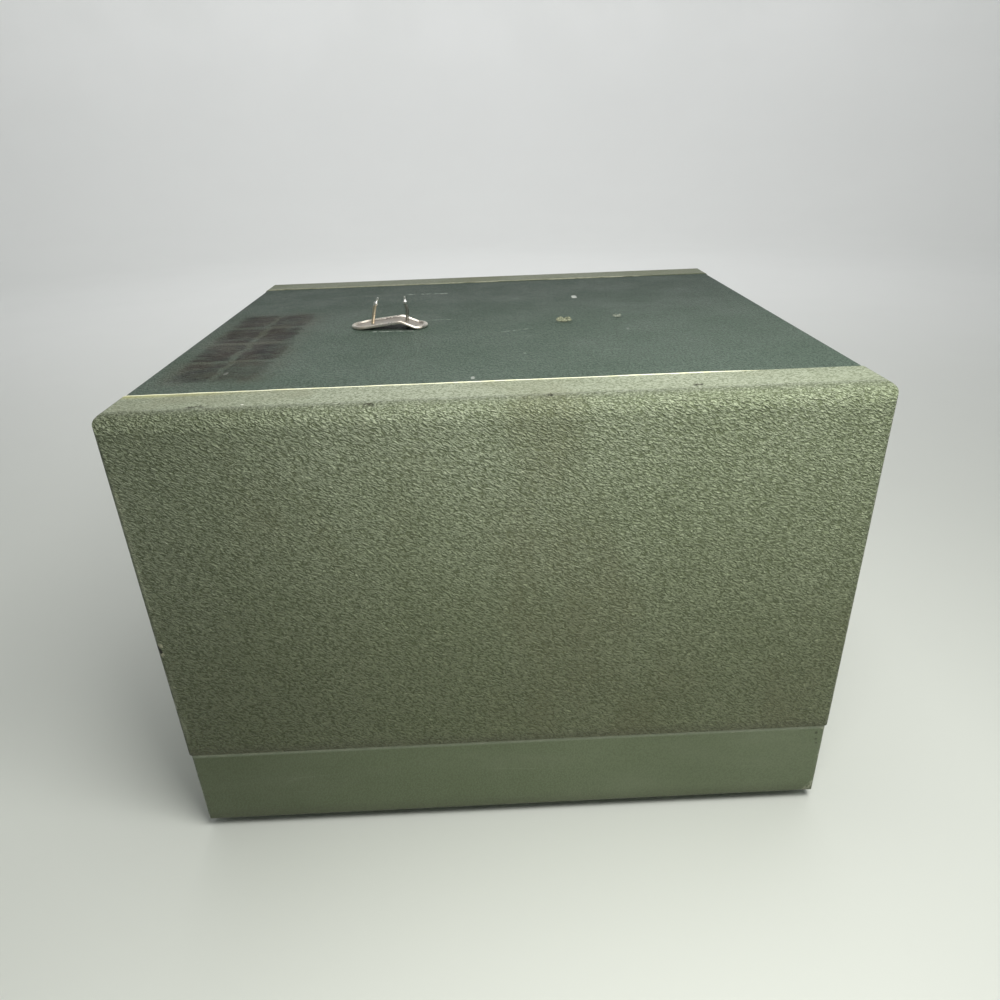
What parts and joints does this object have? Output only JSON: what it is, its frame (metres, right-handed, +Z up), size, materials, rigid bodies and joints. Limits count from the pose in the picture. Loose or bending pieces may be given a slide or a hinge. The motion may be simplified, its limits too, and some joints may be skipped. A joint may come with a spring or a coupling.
{
  "type": "slide projector",
  "caption": "Slide projector in a two-tone covered plywood carry case with lift-off cover, end latches, focusing lens, push-pull slide carrier, lamp house and fan cooling.",
  "frame": {"origin": "on the floor plane that the rubber feet stand on, below the middle of the case", "axes": "+X along the case's long side, the way the lens points; +Z up; -Y is the face seen in the picture"},
  "size_m": [0.3378, 0.29, 0.2348],
  "materials": {
    "plywood": "bare plywood, stained and dusty",
    "sage_vinyl": "coarse-grained sage leatherette",
    "green_vinyl": "fine-grained dark green leatherette",
    "base_vinyl": "smooth sage vinyl",
    "rubber": "moulded rubber",
    "nickel": "dull nickel-plated steel",
    "sage_enamel": "baked sage enamel on die-cast metal",
    "dark_enamel": "baked dark green wrinkle enamel",
    "black_plastic": "moulded phenolic",
    "aluminium": "satin",
    "steel": "bright steel",
    "brass": "satin",
    "ceramic": "glazed ceramic",
    "clear_glass": "polished clear glass"
  },
  "bodies": {
    "base": {"base_covering": "base_vinyl", "base_front_board": "plywood", "base_back_board": "plywood", "base_left_board": "plywood", "base_right_board": "plywood", "base_floor_board": "plywood", "base_locating_rim": "dark_enamel", "foot_front_left": "rubber", "foot_front_right": "rubber", "foot_back_left": "rubber", "foot_back_right": "rubber", "latch_plate_left": "nickel", "latch_plate_right": "nickel", "lower_housing": "dark_enamel", "lamp_house": "sage_enamel", "top_grille": "aluminium", "lamp_socket": "ceramic", "lamp_base": "brass", "lamp_glass": "clear_glass", "reflector": "aluminium", "condenser_holder": "dark_enamel", "condenser_rear": "clear_glass", "condenser_front": "clear_glass", "heat_glass": "clear_glass", "nose_housing": "sage_enamel", "slide_gate": "dark_enamel", "lens_mount": "aluminium", "blower_motor": "steel", "mains_inlet": "black_plastic", "elevation_bushing": "brass"},
    "cover": {"cover_front_covering": "sage_vinyl", "cover_back_covering": "sage_vinyl", "cover_top_covering": "green_vinyl", "cover_front_board": "plywood", "cover_back_board": "plywood", "cover_left_board": "plywood", "cover_right_board": "plywood", "cover_top_board": "plywood", "handle_end_plate": "nickel", "handle_nail_left": "steel", "handle_nail_right": "steel", "latch_keeper_left": "nickel", "latch_keeper_right": "nickel"},
    "lever_left": {"latch_lever_left": "nickel"},
    "lever_right": {"latch_lever_right": "nickel"},
    "bail_left": {"latch_bail_left": "nickel"},
    "bail_right": {"latch_bail_right": "nickel"},
    "carrier": {"slide_carrier": "aluminium", "carrier_knob": "black_plastic"},
    "lens": {"lens_barrel": "black_plastic", "lens_front_element": "clear_glass", "lens_rear_element": "clear_glass"},
    "focus": {"focus_shaft": "steel", "focus_knob": "black_plastic"},
    "fan": {"motor_shaft": "steel", "fan_wheel": "aluminium"},
    "switch": {"switch_knob": "black_plastic"},
    "screw_knob": {"elevation_knob": "black_plastic"},
    "screw": {"elevation_screw": "steel"}
  },
  "joints": [
    {"name": "cover_lift", "type": "slide", "parent": "base", "child": "cover", "axis": [0, 0, 1], "range_m": [0, 0.2]},
    {"name": "latch_lever_right_swing", "type": "hinge", "parent": "base", "child": "lever_right", "pos_m": [0.1609, 0, 0.042], "axis": [0, -1, 0], "range_deg": [0, 150]},
    {"name": "latch_bail_right_swing", "type": "hinge", "parent": "lever_right", "child": "bail_right", "pos_m": [0.1615, 0, 0.034], "axis": [0, -1, 0], "range_deg": [0, 28]},
    {"name": "latch_lever_left_swing", "type": "hinge", "parent": "base", "child": "lever_left", "pos_m": [-0.1609, 0, 0.042], "axis": [0, 1, 0], "range_deg": [0, 150]},
    {"name": "latch_bail_left_swing", "type": "hinge", "parent": "lever_left", "child": "bail_left", "pos_m": [-0.1615, 0, 0.034], "axis": [0, 1, 0], "range_deg": [0, 28]},
    {"name": "slide_change", "type": "slide", "parent": "base", "child": "carrier", "axis": [0, -1, 0], "range_m": [0, 0.062]},
    {"name": "lens_focus", "type": "slide", "parent": "base", "child": "lens", "axis": [1, 0, 0], "range_m": [-0.016, 0.016]},
    {"name": "focus_turn", "type": "hinge", "parent": "base", "child": "focus", "pos_m": [0.052, -0.034, 0.0878], "axis": [0, 1, 0], "range_deg": [-164, 164]},
    {"name": "fan_spin", "type": "hinge", "parent": "base", "child": "fan", "pos_m": [-0.095, -0.034, 0.0464], "axis": [0, 0, 1], "continuous": true},
    {"name": "switch_turn", "type": "hinge", "parent": "base", "child": "switch", "pos_m": [0.046, 0.021, 0.07], "axis": [0, 0, -1], "range_deg": [0, 90]},
    {"name": "elevation_turn", "type": "hinge", "parent": "base", "child": "screw_knob", "pos_m": [0.112, -0.034, 0.0225], "axis": [0, 0, 1], "range_deg": [0, 1440]},
    {"name": "elevation_travel", "type": "slide", "parent": "base", "child": "screw", "axis": [0, 0, -1], "range_m": [0, 0.01601]}
  ],
  "couplings": [
    {"joint": "focus_turn", "follows": "lens_focus", "rad_per_m": 178.57},
    {"joint": "elevation_travel", "follows": "elevation_turn", "m_per_rad": 0.00063662}
  ]
}
